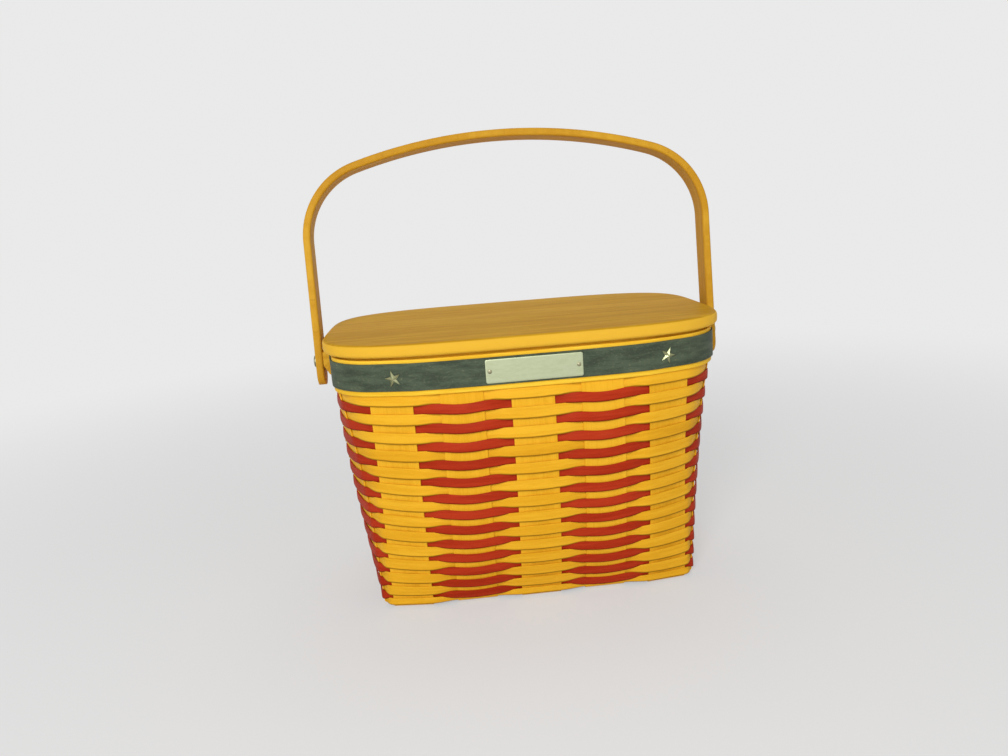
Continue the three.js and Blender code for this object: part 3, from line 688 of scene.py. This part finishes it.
def upright_splint(node, place, along_x, number):
    """One splint: down the wall, round a quarter ellipse at its foot, under the base, over and
    under its neighbours, and up the other side."""
    pitch = LONG_PITCH if along_x else CROSS_PITCH
    crossings = np.array(CROSS_PLACES if along_x else LONG_PLACES)
    crossing_pitch = CROSS_PITCH if along_x else LONG_PITCH
    first, second = place * pitch - SPLINT_WIDTH / 2, place * pitch + SPLINT_WIDTH / 2
    over = -1 if along_x else 1
    levels = np.array([
        BASE_LEVEL + over * splint_wave(place) * splint_wave(other) * BASE_WAVE
        for other in crossings
    ])
    section = strip_section(SPLINT_WIDTH, SPLINT_THICKNESS, SPLINT_CORNER, 2)
    across, through = section[:, 0] / (SPLINT_WIDTH / 2), section[:, 1]
    share = (across + 1) / 2
    forward = np.array([1.0, 0]) if along_x else np.array([0, 1.0])

    def leg(side, level):
        heights = np.concatenate([
            [SPLINT_TOP, SPLINT_SUPPORT], np.linspace(BAND_FOOT, WALL_FOOT, WALL_ROWS),
        ])
        left, right = splint_edges(first, second, along_x, side, heights)
        chord = (right - left) * (side if along_x else -side)
        out = np.column_stack([chord[:, 1], -chord[:, 0]])
        out /= np.linalg.norm(out, axis=1, keepdims=True)
        swell = crown_height(heights)[:, None] * (1 - across ** 2)
        flat = (left[:, None] + (right - left)[:, None] * share[None, :, None]
                + out[:, None] * (through + swell)[..., None])
        level_rows = np.broadcast_to(heights[:, None, None], (*flat.shape[:2], 1))
        wall = np.concatenate([flat, level_rows], 2)
        angles = np.pi / 2 * np.arange(1, BEND_ROWS + 1) / BEND_ROWS
        rise = WALL_FOOT - level
        lean = np.arctan2(np.sin(angles) / rise, np.cos(angles) / BEND_RUN)
        inset = BEND_RUN * (1 - np.cos(angles))[:, None] - through * np.cos(lean)[:, None]
        drop = WALL_FOOT - rise * np.sin(angles)[:, None] - through * np.sin(lean)[:, None]
        foot = left[-1] + (right[-1] - left[-1]) * share[:, None]
        bend = foot[None] - side * inset[..., None] * forward
        return np.concatenate([wall, np.concatenate([bend, drop[..., None]], 2)])

    start, finish_leg = leg(-1, levels[0]), leg(1, levels[-1])[::-1]
    axis = 0 if along_x else 1
    begin, end = start[-1, :, axis].mean(), finish_leg[0, :, axis].mean()
    run = np.linspace(begin, end, BASE_ROWS + 2)[1:-1]
    edges = (crossings[:, None] * crossing_pitch + np.array([-1, 1]) * SPLINT_WIDTH / 2).ravel()
    level = np.interp(run, edges, np.repeat(levels, 2))
    for _ in range(3):
        level[1:-1] = (level[:-2] + 2 * level[1:-1] + level[2:]) / 4
    base = np.empty((len(run), len(section), 3))
    base[..., axis] = run[:, None]
    base[..., 1 - axis] = first + (second - first) * share
    base[..., 2] = level[:, None] - through
    rings = np.concatenate([start, base, finish_leg])
    points, faces = skin(rings, (rings[0].mean(axis=0), rings[-1].mean(axis=0)))
    grain = length_grain(rings, section[:, 0], number)
    make_piece(f"{node}_shown", points, faces, NATURAL, "basket", grain)


for row in range(1, WEAVER_ROWS + 1):
    weaver(row)
for number, place in enumerate(CROSS_PLACES, start=1):
    upright_splint(f"cross_splint_{number}", place, False, 40 + number)
for number, place in enumerate(LONG_PLACES, start=1):
    upright_splint(f"long_splint_{number}", place, True, 50 + number)

for number, (name, finish, *sizes) in enumerate((
    ("outer_rim_band", RIM_WOOD, BAND_FOOT, RIM_TOP, BAND_INSIDE, BAND_OUTSIDE, 0.8),
    ("painted_rim_strip", STRIP_PAINT, STRIP_FOOT, STRIP_TOP, STRIP_INSIDE, STRIP_OUTSIDE, 0.35),
    ("inner_rim_band", RIM_WOOD, INNER_FOOT, INNER_TOP, INNER_INSIDE, INNER_OUTSIDE, 0.9),
), start=61):
    even_ring(name, finish, *sizes, number)


# ---- Pieces on the rim ----

def rim_facet(place, pitch, along_x, side):
    """Frame on the flat of the rim over a splint: its middle, with columns along, up and out."""
    edges = splint_edges(
        place * pitch - SPLINT_WIDTH / 2, place * pitch + SPLINT_WIDTH / 2, along_x, side,
        np.array([STRIP_MIDDLE]),
    )
    left, right = (np.append(edge[0], STRIP_MIDDLE) for edge in edges)
    along = (right - left) * (side if along_x else -side)
    along /= np.linalg.norm(along)
    up = np.array([0, 0, 1.0])
    return (left + right) / 2, np.column_stack([along, up, np.cross(along, up)])


def on_facet(points, facet, shift=(0, 0, 0)):
    middle, columns = facet
    return middle + (points + np.array(shift)) @ columns.T


PIN_SIDES, RIVET_SIDES = 28, 40


def turned_rings(outline, around):
    """An outline of (radius, height) turned round the third axis."""
    turn = 2 * np.pi * np.arange(around) / around
    radius, height = np.array(outline, float).T
    return np.stack([
        radius[:, None] * np.cos(turn), radius[:, None] * np.sin(turn),
        np.broadcast_to(height[:, None], (len(height), around)),
    ], axis=2)


def domed_head(radius, underside, height):
    """A head's outline from its edge up and over: a short straight edge, then an ellipse."""
    steps = 6
    turn = np.pi / 2 * np.arange(steps) / steps
    edge = underside + 0.3 * height
    dome_height = height - (edge - underside)
    dome = np.column_stack([radius * np.cos(turn), edge + dome_height * np.sin(turn)])
    return [(radius * 0.94, underside), (radius, underside + 0.1 * height), *dome.tolist()]


def headed_pin(node, facet, shift, head, pin, finish, number):
    """A pin with a domed head over its own zero, both closed on the axis."""
    (head_radius, head_height), (pin_radius, pin_length) = head, pin
    outline = [
        (pin_radius * 0.6, -pin_length), (pin_radius, -pin_length + 0.3), (pin_radius, 0),
        *domed_head(head_radius, 0, head_height),
    ]
    rings = turned_rings(outline, PIN_SIDES)
    points, faces = skin(rings, ((0, 0, -pin_length), (0, 0, head_height)))
    placed = on_facet(points, facet, shift)
    make_piece(f"{node}_shown", placed, faces, finish, "basket", points + grain_lot(number))


def rounded_block(levels, corner):
    """Stack of rounded rectangles, one for each level of (height, x low, x high, y low, y high)."""
    levels, steps = np.array(levels, float), 4
    turn = np.pi / 2 * np.arange(steps + 1) / steps
    parts = []
    for quarter, (sx, sy) in enumerate(((1, 1), (-1, 1), (-1, -1), (1, -1))):
        angle = turn + quarter * np.pi / 2
        corner_x = levels[:, 2 if sx > 0 else 1] - sx * corner
        corner_y = levels[:, 4 if sy > 0 else 3] - sy * corner
        parts.append(np.stack([
            corner_x[:, None] + corner * np.cos(angle), corner_y[:, None] + corner * np.sin(angle),
            np.broadcast_to(levels[:, :1], (len(levels), steps + 1)),
        ], axis=2))
    return np.concatenate(parts, axis=1)


def eased(low, high, radius, steps=3):
    """Rows of (height, inset) for a block whose top and bottom edges are rounded."""
    turn = np.pi / 2 * np.arange(steps + 1) / steps
    rows = np.column_stack([low + radius * (1 - np.cos(turn)), radius * (1 - np.sin(turn))])
    upper = np.column_stack([low + high - rows[::-1, 0], rows[::-1, 1]])
    return np.concatenate([rows, upper])


def block_piece(node, levels, corner, finish, body, place, number, grain_axis=0):
    """A rounded block put in place by a function, with its grain along one of its own axes."""
    rings = rounded_block(levels, corner)
    points, faces = skin(rings, (rings[0].mean(axis=0), rings[-1].mean(axis=0)))
    grain = np.column_stack([
        points[:, grain_axis] / GRAIN_LENGTH, points[:, 2 - grain_axis], points[:, 1 - grain_axis],
    ])
    make_piece(f"{node}_shown", place(points), faces, finish, body, grain + grain_lot(number))


FRONT = rim_facet(0, CROSS_PITCH, False, -1)
TAG_HALF = (41.0, 10.15)
TAG_SHIFT = 2.3
TAG_FACE = STRIP_OUTSIDE + 1.05
TAG_CORNER = 1.5
NAIL_PLACE = 37.5

# Heads and pins as (radius, height or length)
NAIL_HEAD, NAIL_PIN = (1.8, 0.9), (0.65, 4.6)
TACK_HEAD, TACK_PIN = (3.5, 1.6), (0.8, 8.6)


def tag_plate():
    """Bare plate with slightly rounded corners and edges, from rows of (height, inset)."""
    (half_length, half_height) = TAG_HALF
    rows = (
        (STRIP_OUTSIDE, 0.0), (TAG_FACE - 0.3, 0.0), (TAG_FACE - 0.09, 0.09), (TAG_FACE, 0.32),
        (TAG_FACE, 1.2),
    )
    levels = [
        (z, -half_length + inset, half_length - inset, -half_height + inset, half_height - inset)
        for z, inset in rows
    ]
    block_piece("tag_plate", levels, TAG_CORNER, TAG_METAL, "basket",
                lambda points: on_facet(points, FRONT, (TAG_SHIFT, 0, 0)), 70)


tag_plate()
for side, name in ((-1, "left"), (1, "right")):
    headed_pin(
        f"tag_nail_{name}", FRONT, (TAG_SHIFT + side * NAIL_PLACE, 0, TAG_FACE),
        NAIL_HEAD, NAIL_PIN, STEEL, 71 + side,
    )
    headed_pin(
        f"rim_tack_back_{name}", rim_facet(2 * side, CROSS_PITCH, False, 1),
        (0, 0, STRIP_OUTSIDE), TACK_HEAD, TACK_PIN, STEEL, 74 + side,
    )


def star_tack(name, side, turn, shift):
    """Five-pointed star, 13.7 mm across: a low wall, then faces that rise from each edge to the
    middle, on a short pin."""
    reach, waist, edge, peak, pin_share, drop = 7.2, 0.4, 0.7, 2.6, 0.12, 0.9
    corners = np.arange(10)
    angle = turn + np.pi / 2 + np.pi / 5 * corners
    radius = np.where(corners % 2 == 0, reach, reach * waist)
    levels = (
        (pin_share, -TACK_PIN[1]), (pin_share, 0.0), (1.0, 0.0), (1.0, edge), (0.97, edge + 0.08),
    )
    rings = np.stack([
        np.column_stack([s * radius * np.cos(angle), s * radius * np.sin(angle), np.full(10, z)])
        for s, z in levels
    ])
    points, faces = skin(rings, ((0, 0, levels[0][1]), (0, 0, peak)))
    grain = points * 3 + grain_lot(80 + side)
    facet = rim_facet(2 * side, CROSS_PITCH, False, -1)
    placed = on_facet(points, facet, (shift, -drop, STRIP_OUTSIDE))
    make_piece(f"star_tack_{name}_shown", placed, faces, STAR_METAL, "basket", grain, crease=12)


star_tack("left", -1, 0.24, 6.0)
star_tack("right", 1, -0.38, -3.7)

EAR_RISE, EAR_DROP, EAR_THICKNESS, EAR_TOE = 10.5, 12.0, 8.2, 3.0
EAR_SLOPE, EAR_HALF, EAR_CORNER = 9.0, 13, 0.9
LEG_INSIDE = STRIP_OUTSIDE + FITTING_GAP + EAR_THICKNESS + FITTING_GAP
RIVET_RADIUS, RIVET_HEAD, RIVET_HEAD_HEIGHT = 2.25, 5.5, 1.6
WASHER_HOLE, WASHER_RADIUS, BURR_RADIUS, WASHER_THICKNESS = 2.3, 6.75, 5.5, 0.8


def handle_ear(name, side, number):
    """Wooden block on the end of the rim: its outer face slopes in over its lower part, and its
    edges are rounded."""
    facet = rim_facet(0, LONG_PITCH, True, side)
    rows = eased(-EAR_DROP, EAR_RISE, 1.0)
    rows = np.insert(rows, 4, [[-7.0, 0], [-3.6, 0], [-3.0, 0], [-2.4, 0], [4.0, 0]], axis=0)
    slope = np.clip((rows[:, 0] + EAR_DROP) / EAR_SLOPE, 0, 1)
    depth = EAR_TOE + (EAR_THICKNESS - EAR_TOE) * slope
    levels = [
        (height, -EAR_HALF + inset, EAR_HALF - inset, 0.0, thick - inset)
        for (height, inset), thick in zip(rows, depth)
    ]
    rings = rounded_block(levels, EAR_CORNER)[..., [0, 2, 1]]
    points, faces = skin(rings, (rings[0].mean(axis=0), rings[-1].mean(axis=0)))
    grain = np.column_stack([points[:, 0] / GRAIN_LENGTH, points[:, 2], points[:, 1]])
    placed = on_facet(points, facet, (0, 0, STRIP_OUTSIDE + 0.05))
    make_piece(f"handle_ear_{name}_shown", placed, faces, HANDLE_WOOD, "basket",
               grain + grain_lot(number))


def rivet_set(name, side, number):
    """Rivet through rim, ear and handle, with a washer under its head and a burr inside the rim."""
    facet = rim_facet(0, LONG_PITCH, True, side)
    washer_foot = LEG_INSIDE + HANDLE_THICKNESS + FITTING_GAP
    head_foot = washer_foot + WASHER_THICKNESS + FITTING_GAP
    burr_foot = INNER_INSIDE - FITTING_GAP - WASHER_THICKNESS
    outline = [
        (2.2, burr_foot - 0.3 - 1.4), (3.1, burr_foot - 0.3 - 1.1), (3.5, burr_foot - 0.4),
        (3.3, burr_foot - 0.15), (RIVET_RADIUS, burr_foot - 0.15), (RIVET_RADIUS, head_foot),
        *domed_head(RIVET_HEAD, head_foot, RIVET_HEAD_HEIGHT),
    ]
    ends = ((0, 0, outline[0][1]), (0, 0, head_foot + RIVET_HEAD_HEIGHT))
    points, faces = skin(turned_rings(outline, RIVET_SIDES), ends)
    make_piece(f"handle_rivet_{name}_shown", on_facet(points, facet), faces, STEEL, "basket",
               points + grain_lot(number))
    for label, foot, radius in (
        ("rivet_washer", washer_foot, WASHER_RADIUS), ("rivet_burr", burr_foot, BURR_RADIUS),
    ):
        top, chamfer = foot + WASHER_THICKNESS, 0.2
        ring = [
            (WASHER_HOLE, foot), (radius - chamfer, foot), (radius, foot + chamfer),
            (radius, foot + 0.6), (radius - chamfer, top), (WASHER_HOLE, top),
        ]
        points, faces = skin(turned_rings(ring, RIVET_SIDES))
        make_piece(f"{label}_{name}_shown", on_facet(points, facet), faces, STEEL, "basket",
                   points + grain_lot(number + 1))


for side, name in ((-1, "left"), (1, "right")):
    handle_ear(name, side, 90 + side)
    rivet_set(name, side, 94 + 3 * side)


# ---- Lid ----

# The third constant is how far below the lid's top the painted highlight on its edge reaches full
# strength
LID_SIDES, LID_ROUNDING, LID_HIGHLIGHT_DEPTH = 320, 3.6, 1.2
CLEAT_PLACE, CLEAT_HALF, CLEAT_DROP = 105.0, (11, 93.5), 9.3


def lid_board():
    """Board with the rim's outline: superellipses drawn in from the edge, rounded at the top and
    bottom edges. Its rise falls to -1 a little below the top, where the painted highlight on its
    edge and sides begins."""
    sides = LID_SIDES
    angle = 2 * np.pi * (np.arange(sides) + 0.5) / sides
    cosine, sine = np.cos(angle), np.sin(angle)
    rows = eased(0.0, LID_THICKNESS, LID_ROUNDING, 6)
    inner = [0.12, 0.35, 0.6, 0.8, 0.92, 0.975]
    flat = [rows[0, 1]] * len(inner)
    scales = inner + [1.0] * len(rows) + inner[::-1]
    insets = flat + rows[:, 1].tolist() + flat
    heights = [0.0] * len(inner) + rows[:, 0].tolist() + [LID_THICKNESS] * len(inner)
    power = 2 / RIM_SQUARENESS
    rings = np.stack([
        np.column_stack([
            scale * (LID_HALF[0] - inset) * np.sign(cosine) * np.abs(cosine) ** power,
            scale * (LID_HALF[1] - inset) * np.sign(sine) * np.abs(sine) ** power,
            np.full(sides, LID_FOOT + height),
        ]) for scale, inset, height in zip(scales, insets, heights)
    ])
    points, faces = skin(rings, ((0, 0, LID_FOOT), (0, 0, LID_FOOT + LID_THICKNESS)))
    grain = points / np.array([GRAIN_LENGTH, 1, 1]) + grain_lot(100)
    piece = make_piece("lid_board_shown", points, faces, LID_WOOD, "lid", grain[:, [0, 2, 1]])
    # Rise near -1 below the top takes the lid's edge colour, a painted highlight
    give_rise(piece, (points[:, 2] - LID_FOOT - LID_THICKNESS) / LID_HIGHLIGHT_DEPTH)


def lid_cleat(name, side):
    """Cleat across the lid's underside, with rounded edges."""
    centre = side * CLEAT_PLACE
    half_length, half_width = CLEAT_HALF
    rows = eased(LID_FOOT - CLEAT_DROP, LID_FOOT - 0.05, 1.2)
    levels = [
        (z, -half_length + inset, half_length - inset, -half_width + inset, half_width - inset)
        for z, inset in rows
    ]
    block_piece(f"lid_cleat_{name}", levels, 1.3, LID_WOOD, "lid",
                lambda points: points + np.array([centre, 0, 0]), 101 + side, grain_axis=1)


lid_board()
lid_cleat("left", -1)
lid_cleat("right", 1)


# ---- Handle ----

FOOT_ROWS, LEG_ROWS, SHOULDER_ROWS, CROWN_ROWS = 12, 23, 28, 33


def handle_path():
    """Middle line of the bent strip in its own plane, as rows of (x, height, tilt, width): a
    rounded foot, a leg, a round shoulder and a flat crown arc, and the same back. The crown's
    radius R meets the shoulder's circle from within: R = (x^2 + rise^2 - r^2) / (2 (rise - r))."""
    shoulder_x = LEG_MIDDLE - SHOULDER_RADIUS
    extra = ARCH_RISE - SHOULDER_RADIUS
    crown_radius = (shoulder_x ** 2 + ARCH_RISE ** 2 - SHOULDER_RADIUS ** 2) / (2 * extra)
    crown_centre = LEG_HEIGHT + ARCH_RISE - crown_radius
    meet = math.atan2(LEG_HEIGHT - crown_centre, shoulder_x)
    foot = np.pi / 2 * np.arange(FOOT_ROWS, 0, -1) / (FOOT_ROWS + 0.5)
    foot_rows = np.column_stack([
        np.full(FOOT_ROWS, LEG_MIDDLE), -FOOT_DROP - HANDLE_WIDTH / 2 * np.sin(foot),
        np.zeros(FOOT_ROWS), HANDLE_WIDTH * np.cos(foot),
    ])
    rise = np.linspace(-FOOT_DROP, LEG_HEIGHT, LEG_ROWS + 1)[:-1]
    leg_rows = np.column_stack([
        np.full(LEG_ROWS, LEG_MIDDLE), rise, np.zeros(LEG_ROWS), np.full(LEG_ROWS, HANDLE_WIDTH),
    ])
    tilt = np.linspace(0, meet, SHOULDER_ROWS)
    shoulder_rows = np.column_stack([
        shoulder_x + SHOULDER_RADIUS * np.cos(tilt), LEG_HEIGHT + SHOULDER_RADIUS * np.sin(tilt),
        tilt, np.full(SHOULDER_ROWS, HANDLE_WIDTH),
    ])
    arc = np.linspace(meet, np.pi / 2, CROWN_ROWS + 1)[1:]
    crown_rows = np.column_stack([
        crown_radius * np.cos(arc), crown_centre + crown_radius * np.sin(arc),
        arc, np.full(CROWN_ROWS, HANDLE_WIDTH),
    ])
    half = np.concatenate([foot_rows, leg_rows, shoulder_rows, crown_rows])
    other = half[:-1][::-1] * np.array([-1, 1, -1, 1]) + np.array([0, 0, np.pi, 0])
    return np.concatenate([half, other])


def bentwood_handle():
    """The strip's rounded section carried along its path, then leaned back about the rivets."""
    x, height, tilt, width = handle_path().T
    corner = 2.1
    section = strip_section(HANDLE_WIDTH, HANDLE_THICKNESS, corner, 4)
    across, through = section[:, 0] / (HANDLE_WIDTH / 2), section[:, 1]
    rings = np.stack([
        x[:, None] + np.cos(tilt)[:, None] * through,
        across * width[:, None] / 2,
        height[:, None] + np.sin(tilt)[:, None] * through,
    ], axis=2)
    points, faces = skin(rings, (rings[0].mean(axis=0), rings[-1].mean(axis=0)))
    grain = length_grain(rings, section[:, 0], 110)
    cosine, sine = math.cos(HANDLE_LEAN), math.sin(HANDLE_LEAN)
    leaned = np.column_stack([
        points[:, 0], points[:, 1] * cosine + points[:, 2] * sine,
        points[:, 2] * cosine - points[:, 1] * sine + STRIP_MIDDLE,
    ])
    make_piece("bentwood_handle_shown", leaned, faces, HANDLE_WOOD, "handle", grain)


bentwood_handle()


# ---- Floor, light and camera ----

PALE = (0.82, 0.82, 0.82, 1)
FLOOR_SHADE = (0.8, 0.8, 0.8, 1)
SOFT_LIGHT = 0.3
PHOTO_WIDTH = 1008


def pale_floor():
    """Wide pale floor that fades into the pale world far from the basket. To the camera it is half
    an even pale tone, and the other half keeps the basket's shadow."""
    finish = Finish("pale_floor", "")
    place = finish.node("ShaderNodeTexCoord", output=3)
    reach = finish.node("ShaderNodeVectorMath", {"operation": "LENGTH"}, {0: place}, output=1)
    near = finish.node("ShaderNodeBsdfDiffuse", None, {"Color": FLOOR_SHADE})
    far = finish.node("ShaderNodeEmission", None, {"Color": PALE, "Strength": 1.0})
    seen = finish.node("ShaderNodeLightPath")
    share = reach.between(0.15, 1.5) * (1.0 - seen * 0.5) + seen * 0.5
    mixed = finish.node("ShaderNodeMixShader", None, {0: share, 1: near, 2: far})
    finish.show(mixed)
    mesh = bpy.data.meshes.new("floor")
    size, drop = 12.0, -0.0004
    mesh.from_pydata(
        [(-size, -size, drop), (size, -size, drop), (size, size, drop), (-size, size, drop)],
        [], [(0, 1, 2, 3)],
    )
    mesh.materials.append(finish.material)
    floor = bpy.data.objects.new("floor", mesh)
    bpy.context.scene.collection.objects.link(floor)


def pale_world():
    """World that lights softly and shows pale to the camera and in reflections."""
    world = bpy.data.worlds.new("studio")
    world.use_nodes = True
    tree = world.node_tree
    tree.nodes.clear()
    rays = tree.nodes.new("ShaderNodeLightPath")
    either, seen = (tree.nodes.new("ShaderNodeMath") for _ in range(2))
    either.operation = seen.operation = "MAXIMUM"
    tree.links.new(rays.outputs["Is Camera Ray"], either.inputs[0])
    tree.links.new(rays.outputs["Is Transmission Ray"], either.inputs[1])
    tree.links.new(either.outputs[0], seen.inputs[0])
    tree.links.new(rays.outputs["Is Glossy Ray"], seen.inputs[1])
    soft, shown = (tree.nodes.new("ShaderNodeBackground") for _ in range(2))
    soft.inputs["Color"].default_value = (1, 1, 1, 1)
    soft.inputs["Strength"].default_value = SOFT_LIGHT
    shown.inputs["Color"].default_value = PALE
    shown.inputs["Strength"].default_value = 1.0
    mixed = tree.nodes.new("ShaderNodeMixShader")
    tree.links.new(seen.outputs[0], mixed.inputs[0])
    tree.links.new(soft.outputs[0], mixed.inputs[1])
    tree.links.new(shown.outputs[0], mixed.inputs[2])
    output = tree.nodes.new("ShaderNodeOutputWorld")
    tree.links.new(mixed.outputs[0], output.inputs["Surface"])
    bpy.context.scene.world = world


def soft_lamp(name, place, aim, size, power):
    light = bpy.data.lights.new(name, "AREA")
    light.shape = "DISK"
    light.size = size
    light.energy = power
    lamp = bpy.data.objects.new(name, light)
    lamp.location = place
    direction = Vector(aim) - Vector(place)
    lamp.rotation_euler = direction.to_track_quat("-Z", "Y").to_euler()
    bpy.context.scene.collection.objects.link(lamp)


def photo_camera():
    """Camera at the photograph's angle: its place in millimetres, its focal length in pixels, and
    its heading, height and roll angles in radians, from the fit to the photograph."""
    focal, heading, elevation, roll = 800.0, -0.0683, 0.2166, -0.0723
    place = Vector((-68.163, -766.82, 362.12)) * MM
    back = Vector((
        math.sin(heading) * math.cos(elevation), -math.cos(heading) * math.cos(elevation),
        math.sin(elevation),
    ))
    right = Vector((math.cos(heading), math.sin(heading), 0))
    up = back.cross(right)
    right, up = (
        math.cos(roll) * right + math.sin(roll) * up, math.cos(roll) * up - math.sin(roll) * right,
    )
    data = bpy.data.cameras.new("photo_camera")
    data.sensor_width = 36.0
    data.lens = focal / PHOTO_WIDTH * data.sensor_width
    data.clip_start, data.clip_end = 0.02, 60
    camera = bpy.data.objects.new("photo_camera", data)
    turn = Matrix((right, up, back)).transposed().to_4x4()
    camera.matrix_world = Matrix.Translation(place) @ turn
    bpy.context.scene.collection.objects.link(camera)
    bpy.context.scene.camera = camera


pale_floor()
pale_world()
soft_lamp("key", (-0.6, -1.9, 1.2), (0, 0, 0.16), 0.9, 31.5)
soft_lamp("fill", (1.6, -1.2, 0.9), (0, 0, 0.15), 1.2, 2.5)
soft_lamp("top", (0.1, 0.7, 1.9), (0, 0, 0.2), 1.2, 5.5)
photo_camera()
bpy.context.scene.view_settings.view_transform = "Standard"
